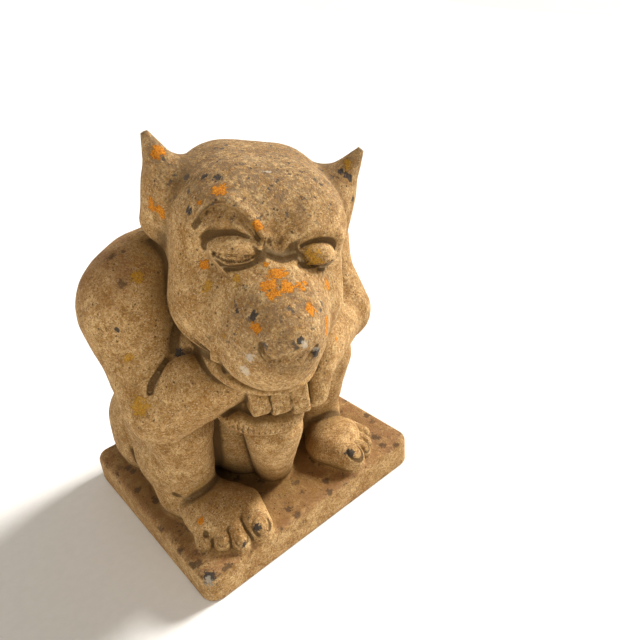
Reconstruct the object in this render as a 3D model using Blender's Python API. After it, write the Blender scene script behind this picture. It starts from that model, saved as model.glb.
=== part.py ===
"""A squatting stone gargoyle cast in one piece with its rectangular plinth.

Metres, +Z up. The origin is the middle of the plinth's underside, the figure faces -Y and its left is +X.
The named sizes are in metres. The figure is drawn on a grid of its own height: one grid unit is UNIT metres,
and its zero is the middle of the plinth's top. It is laid up from rounded masses that run smoothly into each
other, like clay, and the carving is then cut into the blended surface.
"""

import math

import bmesh
import bpy
import numpy as np
from mathutils import Matrix, Vector

# Plinth
PLINTH_WIDTH = 0.360
PLINTH_DEPTH = 0.325
PLINTH_THICKNESS = 0.044
PLINTH_CORNER_RADIUS = 0.020
PLINTH_EDGE_RADIUS = 0.005

# Figure
FIGURE_HEIGHT = 0.486
UNIT = FIGURE_HEIGHT / 486.0
BODY_MIDDLE = -0.011
FACE_BACK = -0.060

# Carving
LID_EDGE = 0.0335
SLIT_REACH = 0.0036
SLIT_DEPTH = 0.0028
MOUTH_ROUND = 0.125
MOUTH_REACH = 0.0040
MOUTH_DEPTH = 0.0050
NOSTRIL_REACH = 0.0034
NOSTRIL_DEPTH = 0.0032
NAIL_REACH = 0.0030
NAIL_DEPTH = 0.0014

# Mesh
SUNK = 0.012
ROUGH_STEP = 0.0050
FINE_STEP = 0.0036
PROBE = 0.0004
MARGIN = 0.016
MOST_FACES = 9700

# The head is modelled upright and looking at -Y in a frame of its own
HEAD_PLACE = (-12.0, -97.0, 357.0)
HEAD_TURN = 23.0
HEAD_NOD = 7.5
HEAD_TILT = 12.0


def grid(metres):
    """Metres in grid units."""
    return metres / UNIT


def turned(turn, nod, tilt):
    """Rotation that turns a face from -Y towards -X, nods it down and drops its +X side, in degrees."""
    return (
        Matrix.Rotation(math.radians(-turn), 3, "Z")
        @ Matrix.Rotation(math.radians(tilt), 3, "Y")
        @ Matrix.Rotation(math.radians(nod), 3, "X")
    )


class Egg:
    """An ellipsoid, with the width of the fillet that blends it into what came before."""

    def __init__(self, centre, radii, blend=12.0, turn=(0.0, 0.0, 0.0)):
        self.centre = np.array(centre, float)
        self.radii = np.array(radii, float)
        self.blend = blend
        self.turn = turned(*turn)
        self.middle = self.centre
        self.size = self.radii.max()

    def distance(self, points):
        local = (points - self.centre) @ np.array(self.turn)
        k0 = np.linalg.norm(local / self.radii, axis=1)
        k1 = np.linalg.norm(local / self.radii**2, axis=1)
        return k0 * (k0 - 1.0) / np.maximum(k1, 1e-9)

    def lay(self, bm, place):
        scale = Matrix.Diagonal(Vector(self.radii)).to_4x4()
        own = Matrix.Translation(Vector(self.centre)) @ self.turn.to_4x4() @ scale
        bmesh.ops.create_icosphere(bm, subdivisions=3, radius=1.0, matrix=place @ own)


class Slab:
    """A box with rounded edges."""

    def __init__(self, centre, halves, edge, blend=4.0, turn=(0.0, 0.0, 0.0)):
        self.centre = np.array(centre, float)
        self.halves = np.array(halves, float)
        self.edge = edge
        self.blend = blend
        self.turn = turned(*turn)
        self.middle = self.centre
        self.size = np.linalg.norm(self.halves)

    def distance(self, points):
        local = np.abs((points - self.centre) @ np.array(self.turn)) - self.halves + self.edge
        return np.linalg.norm(np.maximum(local, 0.0), axis=1) + np.minimum(local.max(axis=1), 0.0) - self.edge

    def lay(self, bm, place):
        scale = Matrix.Diagonal(Vector(self.halves * 2)).to_4x4()
        own = Matrix.Translation(Vector(self.centre)) @ self.turn.to_4x4() @ scale
        bmesh.ops.create_cube(bm, size=1.0, matrix=place @ own)


class Limb:
    """A round-ended bar that tapers from one radius to another."""

    def __init__(self, start, end, first, last, blend=12.0):
        self.start = np.array(start, float)
        self.end = np.array(end, float)
        self.first, self.last = first, last
        self.blend = blend
        self.middle = (self.start + self.end) / 2
        self.size = np.linalg.norm(self.end - self.start) / 2 + max(first, last)

    def distance(self, points):
        run = self.end - self.start
        t = np.clip((points - self.start) @ run / (run @ run), 0.0, 1.0)
        nearest = self.start + t[:, None] * run
        return np.linalg.norm(points - nearest, axis=1) - (self.first + t * (self.last - self.first))

    def lay(self, bm, place):
        run = Vector(self.end - self.start)
        for spot, radius in ((self.start, self.first), (self.end, self.last)):
            bmesh.ops.create_icosphere(
                bm, subdivisions=3, radius=radius, matrix=place @ Matrix.Translation(Vector(spot))
            )
        aim = run.to_track_quat("Z", "Y").to_matrix().to_4x4()
        bmesh.ops.create_cone(
            bm,
            cap_ends=True,
            segments=24,
            radius1=self.first,
            radius2=self.last,
            depth=run.length,
            matrix=place @ Matrix.Translation(Vector(self.middle)) @ aim,
        )


def mirrored(mass, middle):
    """The same mass on the other side of the body or head."""
    flip = np.array([-1.0, 1.0, 1.0])
    aside = np.array([2 * middle, 0.0, 0.0])
    if isinstance(mass, Limb):
        return Limb(mass.start * flip + aside, mass.end * flip + aside, mass.first, mass.last, mass.blend)
    twin = Egg(mass.centre * flip + aside, mass.radii, mass.blend)
    across = Matrix.Diagonal(Vector((-1.0, 1.0, 1.0)))
    twin.turn = across @ mass.turn @ across
    return twin


def body_masses():
    right = [
        Egg((-86.0, 88.0, 66.0), (76.0, 70.0, 78.0), 14.0),
        Egg((-96.0, 92.0, 34.0), (64.0, 66.0, 58.0), 14.0),
        Egg((-140.0, -38.0, 300.0), (54.0, 56.0, 66.0), 18.0),
        Egg((-98.0, -20.0, 330.0), (60.0, 56.0, 44.0), 18.0),
        Limb((-142.0, -50.0, 262.0), (-148.0, -84.0, 210.0), 46.0, 42.0, 14.0),
        Egg((-74.0, -92.0, 240.0), (56.0, 52.0, 58.0), 10.0),
        Limb((-98.0, 70.0, 88.0), (-124.0, -60.0, 150.0), 58.0, 38.0, 10.0),
        Limb((-128.0, -68.0, 142.0), (-117.0, -34.0, 26.0), 37.0, 32.0, 14.0),
        Egg((-130.0, -32.0, 84.0), (40.0, 44.0, 54.0), 12.0),
        Egg((-110.0, 20.0, 46.0), (50.0, 60.0, 64.0), 14.0),
        Egg((-128.0, -30.0, 26.0), (34.0, 46.0, 42.0), 12.0),
    ]
    middle = [
        Egg((-10.0, 44.0, 170.0), (112.0, 92.0, 160.0), 10.0, (0.0, 12.0, 0.0)),
        Egg((-10.0, -6.0, 292.0), (124.0, 82.0, 80.0), 26.0),
        Limb((-10.0, 0.0, 318.0), (-14.0, -60.0, 340.0), 80.0, 78.0, 20.0),
        Egg((-12.0, -20.0, 120.0), (84.0, 76.0, 140.0), 12.0),
        Egg((-20.0, -72.0, 228.0), (104.0, 72.0, 70.0), 12.0),
    ]
    return middle + right + [mirrored(mass, grid(BODY_MIDDLE)) for mass in right]


def foot_masses():
    right = [
        Limb((-125.0, -28.0, 16.0), (-106.0, -98.0, 8.0), 32.0, 27.0, 8.0),
        Egg((-105.0, -92.0, 13.0), (42.0, 39.0, 26.0), 8.0, (25.0, 0.0, 0.0)),
        Egg((-119.0, -78.0, 16.0), (36.0, 52.0, 27.0), 8.0, (20.0, 0.0, 0.0)),
        Limb((-80.0, -106.0, 14.0), (-90.0, -146.0, 10.0), 20.0, 18.5, 4.0),
        Limb((-106.0, -104.0, 14.0), (-117.0, -147.0, 7.0), 14.5, 12.5, 2.0),
        Limb((-123.0, -96.0, 13.0), (-134.0, -133.0, 6.0), 13.5, 12.0, 2.0),
        Limb((-137.0, -84.0, 12.0), (-149.0, -116.0, 5.0), 13.0, 12.0, 2.0),
    ]
    left = [
        Limb((103.0, -28.0, 16.0), (84.0, -94.0, 10.0), 32.0, 27.0, 8.0),
        Egg((84.0, -96.0, 13.0), (44.0, 40.0, 26.0), 8.0, (-20.0, 0.0, 0.0)),
        Limb((66.0, -104.0, 14.0), (75.0, -140.0, 11.0), 24.0, 21.0, 4.0),
        Limb((92.0, -104.0, 13.0), (100.0, -140.0, 8.0), 14.0, 12.5, 2.0),
        Limb((106.0, -98.0, 12.0), (116.0, -128.0, 7.0), 13.0, 11.5, 2.0),
        Limb((119.0, -86.0, 12.0), (130.0, -112.0, 6.0), 12.5, 11.0, 2.0),
    ]
    return right + left


def arm_masses():
    return [
        Limb((-146.0, -88.0, 204.0), (-82.0, -160.0, 241.0), 46.0, 23.0, 6.0),
        Egg((-122.0, -120.0, 228.0), (40.0, 38.0, 39.0), 6.0),
        Limb((120.0, -78.0, 206.0), (-4.0, -176.0, 222.0), 43.0, 26.0, 6.0),
    ]


def lip():
    return Egg((-60.0, -146.0, 174.0), (54.0, 44.0, 20.0), 4.0, (0.0, 0.0, 18.0))


def column_masses():
    return [
        Limb((-9.0, -71.0, 12.0), (-40.0, -134.0, 134.0), 27.0, 37.0, 4.0),
        lip(),
        Egg((-58.0, -138.0, 200.0), (38.0, 36.0, 36.0), 6.0),
    ]


def hand_masses():
    slope = (20.0, -8.0, 0.0)
    return [
        Slab((-80.5, -175.0, 228.0), (10.0, 13.0, 26.0), 4.0, 2.0, slope),
        Slab((-59.5, -182.0, 224.0), (11.2, 13.0, 28.0), 4.0, 2.0, slope),
        Slab((-38.5, -188.0, 217.0), (10.2, 13.0, 28.0), 4.0, 2.0, slope),
        Egg((-30.0, -172.0, 212.0), (22.0, 16.0, 30.0), 4.0),
        Limb((-12.5, -186.0, 196.0), (6.0, -176.0, 246.0), 18.0, 24.0, 2.0),
    ]


def head_masses():
    right = [
        Egg((-48.0, -62.0, -34.0), (44.0, 52.0, 54.0), 18.0),
        Limb((-80.0, 2.0, 42.0), (-111.0, 0.0, 107.0), 32.0, 4.0, 22.0),
        Limb((-80.0, 4.0, 46.0), (-94.0, 6.0, 16.0), 32.0, 20.0, 18.0),
    ]
    middle = [
        Slab((0.0, -12.0, 24.0), (89.0, 94.0, 76.0), 66.0),
        Egg((0.0, 8.0, 0.0), (92.0, 98.0, 96.0), 10.0),
        Egg((0.0, -92.0, -42.0), (61.0, 93.0, 62.0), 20.0),
        Egg((0.0, -88.0, -14.0), (62.0, 76.0, 44.0), 24.0),
        Egg((0.0, -108.0, -6.0), (40.0, 83.0, 34.0), 32.0, (0.0, 6.0, 0.0)),
        Egg((5.0, -76.0, -94.0), (64.0, 74.0, 26.0), 3.0),
    ]
    return middle + right + [mirrored(mass, 0.0) for mass in right]


EYES = (
    Egg((-38.0, -92.0, 37.0), (26.0, 22.5, 16.0)),
    Egg((39.0, -92.0, 34.5), (21.5, 23.5, 13.5)),
)
FACE_STROKES = [
    # Points across and up the face, reach, and rise, which is under zero for a groove
    ([(-77, 52), (-68, 68), (-54, 78), (-38, 77), (-25, 67), (-14, 53)], 6.0, 4.0),
    ([(-58, 66), (-48, 71), (-37, 68), (-27, 60), (-16, 48)], 4.0, -3.6),
    ([(-70, 44), (-62, 54), (-50, 61), (-38, 59), (-28, 52), (-19, 43)], 4.5, 2.4),
    ([(12, 50), (26, 56), (42, 57), (58, 54), (72, 44)], 7.0, 4.5),
    ([(-4, 72), (-4, 58), (0, 46)], 3.6, -2.0),
    ([(14, 74), (9, 58), (4, 46)], 3.6, -2.0),
    ([(-10, 37), (2, 35), (14, 36)], 3.4, -1.8),
    ([(-68, 14), (-61, 10), (-52, 8), (-43, 11)], 4.0, -1.0),
    ([(32, 15), (42, 11), (54, 8), (64, 9)], 4.0, -1.0),
]
# Points round the head from its middle, in degrees, and up it
MOUTH = [
    (-45, -55), (-39, -60), (-33, -67), (-27, -73), (-22, -79), (-15, -86), (-7, -91),
    (0, -93), (9, -93), (18, -90), (27, -86), (36, -78), (44, -68),
]
NOSTRILS = ((-13.0, -16.0, 11.0), (14.0, -19.0, 9.5))
FANG = Limb((-50.0, -128.0, -84.0), (-53.0, -128.0, -54.0), 9.0, 3.5, 1.5)
BODY_CUTS = [
    ([(-124, -98, 266), (-132, -102, 264), (-150, -108, 255), (-162, -112, 243), (-171, -114, 232)], 4.5, -2.6),
    ([(-163, -116, 178), (-158, -104, 158), (-152, -94, 130), (-148, -86, 104), (-144, -80, 80)], 4.0, -1.6),
    ([(-151, -60, 51), (-136, -68, 40), (-122, -77, 38)], 4.0, -2.0),
]
RIGHT_NAILS = ((-91.0, -155.0, 10.0), (-119.0, -152.0, 6.5), (-136.0, -137.0, 5.5), (-151.0, -120.0, 5.5))


def curve(points, steps=6):
    """Points along a smooth line through the given ones."""
    points = [np.array(point, float) for point in points]
    ends = [2 * points[0] - points[1]] + points + [2 * points[-1] - points[-2]]
    found = []
    for a, b, c, d in zip(ends, ends[1:], ends[2:], ends[3:]):
        for t in np.arange(steps) / steps:
            found.append(
                0.5 * (2 * b + (c - a) * t + (2 * a - 5 * b + 4 * c - d) * t**2 + (3 * b - a - 3 * c + d) * t**3)
            )
    return np.array(found + [points[-1]])


def line_distance(points, line):
    nearest = np.full(len(points), np.inf)
    for start, end in zip(line, line[1:]):
        run = end - start
        t = np.clip((points - start) @ run / (run @ run), 0.0, 1.0)
        nearest = np.minimum(nearest, np.linalg.norm(points - start - t[:, None] * run, axis=1))
    return nearest


def bell(away, reach):
    return np.exp(-((away / reach) ** 2))


def stroked(total, points, line, reach, rise):
    """Raises or cuts the surface along a line. It is only worked out near the line."""
    line = curve(line)
    beside = (points > line.min(axis=0) - 4 * reach) & (points < line.max(axis=0) + 4 * reach)
    near = np.flatnonzero(np.all(beside, axis=1))
    total[near] -= rise * bell(line_distance(points[near], line), reach)


def smooth_min(a, b, width):
    h = np.clip(0.5 + 0.5 * (b - a) / width, 0.0, 1.0)
    return b + (a - b) * h - width * h * (1.0 - h)


def blended(masses, points):
    """Joins masses one after another. Each is only worked out where it can be felt."""
    total = np.full(len(points), 1000.0)
    for mass in masses:
        felt = mass.size + mass.blend + grid(MARGIN)
        near = np.flatnonzero(((points - mass.middle) ** 2).sum(axis=1) < felt**2)
        total[near] = smooth_min(total[near], mass.distance(points[near]), mass.blend)
    return total


def with_eye(total, points, ball, shut):
    """A hollow, a ball for the lids, a lower rim, and a slit unless the eye is shut."""
    x, _, z = ball.centre
    side = math.copysign(1.0, x)
    hollow = Egg((x + side * 2.0, -117.0, z + 1.0), (ball.radii[0] + 3.0, 15.0, ball.radii[2] + 4.0))
    total = -smooth_min(-total, hollow.distance(points), 8.0)
    total = smooth_min(total, ball.distance(points), 1.6)
    low = z - ball.radii[2]
    rim = [(x + side * 21, z - 4), (x + side * 12, low + 1), (x, low), (x - side * 9, low + 2)]
    stroked(total, points[:, [0, 2]], rim, 3.4, 2.0)
    if not shut:
        edge = grid(LID_EDGE)
        slit = [(x - 20, edge), (x - 3, edge - 1), (x + 13, edge)]
        stroked(total, points[:, [0, 2]], slit, grid(SLIT_REACH), -grid(SLIT_DEPTH))
    return total


def with_muzzle(total, points):
    """Curls the nostrils, parts the lips and sets the fang."""
    across = points[:, [0, 2]]
    for x, z, radius in NOSTRILS:
        away = across - np.array([x, z])
        ring = np.linalg.norm(away, axis=1) - radius
        low = np.clip(1.2 - (away[:, 1] + 0.2 * radius) / (0.6 * radius), 0.0, 1.0) * (points[:, 1] < -130.0)
        total += grid(NOSTRIL_DEPTH) * bell(ring, grid(NOSTRIL_REACH)) * low
    unrolled = np.stack([np.arctan2(points[:, 0], -points[:, 1]) * grid(MOUTH_ROUND), points[:, 2]], axis=1)
    lips = [(math.radians(angle) * grid(MOUTH_ROUND), height) for angle, height in MOUTH]
    stroked(total, unrolled, lips, grid(MOUTH_REACH), -grid(MOUTH_DEPTH))
    return smooth_min(total, FANG.distance(points), FANG.blend)


def head_distance(points):
    """The head's masses with the face carved into them, in the head's own frame."""
    total = blended(head_masses(), points)
    front = np.flatnonzero((points[:, 1] < grid(FACE_BACK)) & (total < grid(MARGIN)))
    face, spots = total[front], points[front]
    for line, reach, rise in FACE_STROKES:
        stroked(face, spots[:, [0, 2]], line, reach, rise)
    face = with_eye(face, spots, EYES[0], shut=False)
    face = with_eye(face, spots, EYES[1], shut=True)
    total[front] = with_muzzle(face, spots)
    return total


def with_body_cuts(total, points):
    """Creases of the arm and leg, and the edges of the toenails."""
    for line, reach, rise in BODY_CUTS:
        stroked(total, points, line, reach, rise)
    low = (points[:, 2] > 6.0) & (points[:, 2] < 40.0)
    for x, y, radius in RIGHT_NAILS:
        for place in (x, 2 * grid(BODY_MIDDLE) - x):
            ring = np.hypot(points[:, 0] - place, points[:, 1] - y) - radius
            total += grid(NAIL_DEPTH) * bell(ring, grid(NAIL_REACH)) * low
    return total


def plinth_distance(points):
    corner, edge = grid(PLINTH_CORNER_RADIUS), grid(PLINTH_EDGE_RADIUS)
    outside = np.abs(points[:, :2]) - np.array([grid(PLINTH_WIDTH / 2), grid(PLINTH_DEPTH / 2)]) + corner
    flat = np.linalg.norm(np.maximum(outside, 0.0), axis=1) + np.minimum(outside.max(axis=1), 0.0) - corner
    sides = np.stack([flat + edge, points[:, 2] + edge], axis=1)
    return np.linalg.norm(np.maximum(sides, 0.0), axis=1) + np.minimum(sides.max(axis=1), 0.0) - edge


def clay(points):
    """Signed distance in grid units from the carved surface, under zero inside."""
    head_axes = np.array(turned(HEAD_TURN, HEAD_NOD, HEAD_TILT))
    total = blended(body_masses(), points)
    total = smooth_min(total, blended(foot_masses(), points), 9.0)
    total = smooth_min(total, blended(column_masses(), points), 5.0)
    total = smooth_min(total, blended(arm_masses(), points), 5.0)
    total = smooth_min(total, blended(hand_masses(), points), 4.0)
    total = with_body_cuts(total, points)
    total = smooth_min(total, head_distance((points - np.array(HEAD_PLACE)) @ head_axes), 4.0)
    return smooth_min(total, plinth_distance(points), 10.0)


def evened(points, ends):
    """The mean of every point's neighbours."""
    both = np.concatenate([ends, ends[:, ::-1]])
    count = np.bincount(both[:, 0], minlength=len(points))
    sums = [np.bincount(both[:, 0], weights=points[both[:, 1], k], minlength=len(points)) for k in range(3)]
    return np.stack(sums, axis=1) / count[:, None]


def settle(mesh, rounds):
    """Evens the vertices and slides them onto the blended surface, except deep in the plinth's block."""
    flat = np.empty(len(mesh.vertices) * 3, np.float32)
    mesh.vertices.foreach_get("co", flat)
    points = flat.reshape(-1, 3).astype(float)
    ends = np.empty(len(mesh.edges) * 2, np.int32)
    mesh.edges.foreach_get("vertices", ends)
    ends = ends.reshape(-1, 2)
    probe = grid(PROBE)
    corners = np.array([[1.0, -1.0, -1.0], [-1.0, -1.0, 1.0], [-1.0, 1.0, -1.0], [1.0, 1.0, 1.0]])
    for _ in range(rounds):
        points += 0.4 * (evened(points, ends) - points)
        tips = [clay(points + corner * probe) for corner in corners]
        value = sum(tips) / 4
        value[value < -grid(MARGIN)] = 0.0
        slope = sum(corner * tip[:, None] for corner, tip in zip(corners, tips)) / (4 * probe)
        steep = np.maximum((slope**2).sum(axis=1), 0.2)
        points -= slope * np.clip(value / steep, -8.0, 8.0)[:, None]
    mesh.vertices.foreach_set("co", points.astype(np.float32).ravel())
    mesh.update()


def remeshed(obj, step):
    modifier = obj.modifiers.new("Even", "REMESH")
    modifier.mode = "VOXEL"
    modifier.voxel_size = grid(step)
    bake(obj)


def bake(obj):
    """Makes the object's modifiers final."""
    graph = bpy.context.evaluated_depsgraph_get()
    mesh = bpy.data.meshes.new_from_object(obj.evaluated_get(graph))
    obj.modifiers.clear()
    obj.data = mesh


def rough_form():
    """Every mass and the plinth's block, overlapping, in grid units."""
    bm = bmesh.new()
    level = Matrix.Identity(4)
    head = Matrix.Translation(Vector(HEAD_PLACE)) @ turned(HEAD_TURN, HEAD_NOD, HEAD_TILT).to_4x4()
    for mass in body_masses() + foot_masses() + column_masses() + arm_masses() + hand_masses():
        mass.lay(bm, level)
    for mass in head_masses():
        mass.lay(bm, head)
    deep = grid(PLINTH_THICKNESS + SUNK)
    block = Matrix.Translation((0.0, 0.0, -deep / 2)) @ Matrix.Diagonal(
        (grid(PLINTH_WIDTH), grid(PLINTH_DEPTH), deep, 1.0)
    )
    bmesh.ops.create_cube(bm, size=1.0, matrix=block)
    mesh = bpy.data.meshes.new("gargoyle")
    bm.to_mesh(mesh)
    bm.free()
    return mesh


def keep_largest(bm):
    """Deletes the closed bubbles that blending can leave inside or beside the figure."""
    left = set(bm.verts)
    shells = []
    while left:
        shell = {left.pop()}
        front = list(shell)
        while front:
            found = {edge.other_vert(vert) for vert in front for edge in vert.link_edges} - shell
            shell |= found
            front = list(found)
        left -= shell
        shells.append(shell)
    shells.sort(key=len)
    for shell in shells[:-1]:
        bmesh.ops.delete(bm, geom=list(shell), context="VERTS")


def cut_underside(obj):
    """Cuts the plinth off flat at its underside and closes it."""
    bm = bmesh.new()
    bm.from_mesh(obj.data)
    keep_largest(bm)
    bmesh.ops.bisect_plane(
        bm,
        geom=bm.verts[:] + bm.edges[:] + bm.faces[:],
        dist=0.01,
        plane_co=Vector((0.0, 0.0, -grid(PLINTH_THICKNESS))),
        plane_no=(0.0, 0.0, -1.0),
        clear_outer=True,
    )
    rim = [edge for edge in bm.edges if edge.is_boundary]
    bmesh.ops.contextual_create(bm, geom=rim)
    bmesh.ops.triangulate(bm, faces=bm.faces[:])
    bmesh.ops.recalc_face_normals(bm, faces=bm.faces[:])
    bm.to_mesh(obj.data)
    bm.free()


def stone():
    material = bpy.data.materials.new("buff_cast_stone")
    material.use_nodes = True
    shader = material.node_tree.nodes["Principled BSDF"]
    shader.inputs["Base Color"].default_value = (0.47, 0.34, 0.19, 1.0)
    shader.inputs["Roughness"].default_value = 0.92
    shader.inputs["Metallic"].default_value = 0.0
    return material


def gargoyle():
    obj = bpy.data.objects.new("gargoyle", rough_form())
    bpy.context.collection.objects.link(obj)
    remeshed(obj, ROUGH_STEP)
    settle(obj.data, 4)
    remeshed(obj, FINE_STEP)
    settle(obj.data, 4)
    cut_underside(obj)
    obj.data.transform(Matrix.Translation((0.0, 0.0, PLINTH_THICKNESS)) @ Matrix.Scale(UNIT, 4))
    obj.data.materials.append(stone())
    thin = obj.modifiers.new("Thin", "DECIMATE")
    thin.ratio = MOST_FACES / len(obj.data.polygons)
    obj.data.shade_smooth()
    return obj


def main():
    for obj in list(bpy.data.objects):
        bpy.data.objects.remove(obj, do_unlink=True)
    gargoyle()


main()
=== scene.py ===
# %% [markdown]
# # A squatting gargoyle in weathered cast stone
#
# The real object is one casting: a squatting figure with its hands on the lip of a short column, on a plain
# rectangular plinth. The packed model gives its form, place and size. This script carves the same form more
# finely, weathers it, and gives it the buff stone, the grime and the orange lichen that show on it.

# %% Tools and the fixed frame
import math

import bmesh
import bpy
import numpy as np
from mathutils import Matrix, Vector


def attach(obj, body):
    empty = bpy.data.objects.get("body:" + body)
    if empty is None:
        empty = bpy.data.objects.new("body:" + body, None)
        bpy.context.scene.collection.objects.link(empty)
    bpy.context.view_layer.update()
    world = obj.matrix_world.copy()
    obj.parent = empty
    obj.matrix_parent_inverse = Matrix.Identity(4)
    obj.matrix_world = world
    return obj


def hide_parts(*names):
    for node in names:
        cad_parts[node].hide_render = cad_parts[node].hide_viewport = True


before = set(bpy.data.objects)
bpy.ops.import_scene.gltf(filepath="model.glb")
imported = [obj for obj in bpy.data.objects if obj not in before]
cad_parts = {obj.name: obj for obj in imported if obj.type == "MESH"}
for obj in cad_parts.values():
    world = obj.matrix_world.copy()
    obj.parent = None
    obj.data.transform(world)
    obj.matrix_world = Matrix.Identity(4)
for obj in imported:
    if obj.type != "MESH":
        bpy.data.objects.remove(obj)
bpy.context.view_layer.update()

# %% [markdown]
# ## The camera
#
# The camera comes first, so that every later step can be looked at from where the real one was seen: from the
# figure's right, above it, and close enough for the plinth's near corner to loom. Three directions fix it.

# %% Camera
CAMERA_PLACE = Vector((-0.3405, -0.6101, 0.6181))
CAMERA_RIGHT = Vector((0.7455, -0.6620, -0.0766))
CAMERA_UP = Vector((0.3664, 0.3112, 0.8769))
LENS_MM = 32.46

lens = bpy.data.cameras.new("camera")
lens.lens = LENS_MM
lens.sensor_width = 36.0
camera = bpy.data.objects.new("camera", lens)
bpy.context.scene.collection.objects.link(camera)
right = CAMERA_RIGHT.normalized()
back = right.cross(CAMERA_UP).normalized()
up = back.cross(right)
turn = Matrix((right, up, back)).transposed().to_4x4()
camera.matrix_world = Matrix.Translation(CAMERA_PLACE) @ turn
bpy.context.scene.camera = camera
print("camera looks along", tuple(round(v, 3) for v in -back))

# %% [markdown]
# ## Laying up the figure like clay
#
# A modeller builds such a figure from lumps: ribs, haunches, a skull. Each lump is pressed on and its edge is
# smoothed into the last. A signed distance does the same with numbers. It says how far a point is from the
# surface, and is under zero inside. Two distances are joined with a smooth minimum, whose width is the fillet
# between them. Below are three kinds of lump, all measured in millimetres from the middle of the plinth's top.

# %% Grid
UNIT = 0.001
PLINTH_TOP = 0.044
PLINTH_HALVES = (180.0, 162.5)
PLINTH_CORNER = 20.0
PLINTH_EDGE = 7.0
BODY_MIDDLE = -11.0
FAR = 1000.0
MARGIN = 16.0


def turned(turn, nod, tilt):
    """Turns a face from -Y towards -X, nods it down and drops its +X side, in degrees."""
    return (
        Matrix.Rotation(math.radians(-turn), 3, "Z")
        @ Matrix.Rotation(math.radians(tilt), 3, "Y")
        @ Matrix.Rotation(math.radians(nod), 3, "X")
    )


print("one grid unit is", UNIT * 1000, "mm")

# %% Lumps of clay
class Egg:
    """An ellipsoid, with the width of the fillet that blends it in."""

    def __init__(self, centre, radii, blend=12.0, turn=(0.0, 0.0, 0.0)):
        self.centre, self.radii = np.array(centre, float), np.array(radii, float)
        self.blend, self.turn = blend, np.array(turned(*turn))
        self.middle, self.size = self.centre, self.radii.max()

    def distance(self, points):
        local = (points - self.centre) @ self.turn
        k0 = np.linalg.norm(local / self.radii, axis=1)
        k1 = np.linalg.norm(local / self.radii**2, axis=1)
        return k0 * (k0 - 1.0) / np.maximum(k1, 1e-9)


class Slab:
    """A box with rounded edges."""

    def __init__(self, centre, halves, edge, blend=4.0, turn=(0.0, 0.0, 0.0)):
        self.centre, self.halves = np.array(centre, float), np.array(halves, float)
        self.edge, self.blend, self.turn = edge, blend, np.array(turned(*turn))
        self.middle, self.size = self.centre, np.linalg.norm(self.halves)

    def distance(self, points):
        local = np.abs((points - self.centre) @ self.turn) - self.halves + self.edge
        return np.linalg.norm(np.maximum(local, 0.0), axis=1) + np.minimum(local.max(axis=1), 0.0) - self.edge


class Limb:
    """A round-ended bar that tapers."""

    def __init__(self, start, end, first, last, blend=12.0):
        self.start, self.end = np.array(start, float), np.array(end, float)
        self.first, self.last, self.blend = first, last, blend
        self.middle = (self.start + self.end) / 2
        self.size = np.linalg.norm(self.end - self.start) / 2 + max(first, last)

    def distance(self, points):
        run = self.end - self.start
        t = np.clip((points - self.start) @ run / (run @ run), 0.0, 1.0)
        nearest = self.start + t[:, None] * run
        return np.linalg.norm(points - nearest, axis=1) - (self.first + t * (self.last - self.first))


print("lumps:", Egg.__doc__, Slab.__doc__, Limb.__doc__)

# %% Blending and mirroring
def smooth_min(a, b, width):
    h = np.clip(0.5 + 0.5 * (b - a) / width, 0.0, 1.0)
    return b + (a - b) * h - width * h * (1.0 - h)


def blended(masses, points):
    """Joins lumps one after another. A lump is only worked out where it can be felt."""
    total = np.full(len(points), FAR)
    for mass in masses:
        feel = mass.size + mass.blend + MARGIN
        near = np.flatnonzero(((points - mass.middle) ** 2).sum(axis=1) < feel**2)
        total[near] = smooth_min(total[near], mass.distance(points[near]), mass.blend)
    return total


def mirrored(mass, middle=BODY_MIDDLE):
    """The same lump on the other side of the body, or of the head, whose own middle is 0."""
    flip, aside = np.array([-1.0, 1.0, 1.0]), np.array([2 * middle, 0.0, 0.0])
    if isinstance(mass, Limb):
        return Limb(mass.start * flip + aside, mass.end * flip + aside, mass.first, mass.last, mass.blend)
    twin = Egg(mass.centre * flip + aside, mass.radii, mass.blend)
    twin.turn = np.diag(flip) @ mass.turn @ np.diag(flip)
    return twin


print("blend of two touching lumps 10 wide sinks the seam by", 10.0 / 4, "units")

# %% [markdown]
# ## Body, limbs and column
#
# The body is nearly symmetric, so most lumps are made for the figure's right and mirrored. The arms aren't:
# the right one reaches across, and the left one comes in behind it.

# %% Body
right_body = [
    Egg((-86.0, 88.0, 66.0), (76.0, 70.0, 78.0), 14.0),
    Egg((-96.0, 92.0, 34.0), (64.0, 66.0, 58.0), 14.0),
    Egg((-140.0, -38.0, 300.0), (54.0, 56.0, 66.0), 18.0),
    Egg((-98.0, -20.0, 330.0), (60.0, 56.0, 44.0), 18.0),
    Limb((-142.0, -50.0, 262.0), (-148.0, -84.0, 210.0), 46.0, 42.0, 14.0),
    Egg((-74.0, -92.0, 240.0), (56.0, 52.0, 58.0), 10.0),
    Limb((-98.0, 70.0, 88.0), (-124.0, -60.0, 150.0), 58.0, 38.0, 10.0),
    Limb((-128.0, -68.0, 142.0), (-117.0, -34.0, 26.0), 37.0, 32.0, 14.0),
    Egg((-130.0, -32.0, 84.0), (40.0, 44.0, 54.0), 12.0),
    Egg((-110.0, 20.0, 46.0), (50.0, 60.0, 64.0), 14.0),
    Egg((-128.0, -30.0, 26.0), (34.0, 46.0, 42.0), 12.0),
]
middle_body = [
    Egg((-10.0, 44.0, 170.0), (112.0, 92.0, 160.0), 10.0, (0.0, 12.0, 0.0)),
    Egg((-10.0, -6.0, 292.0), (124.0, 82.0, 80.0), 26.0),
    Limb((-10.0, 0.0, 318.0), (-14.0, -60.0, 340.0), 80.0, 78.0, 20.0),
    Egg((-12.0, -20.0, 120.0), (84.0, 76.0, 140.0), 12.0),
    Egg((-20.0, -72.0, 228.0), (104.0, 72.0, 70.0), 12.0),
]
body_masses = middle_body + right_body + [mirrored(mass) for mass in right_body]
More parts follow.
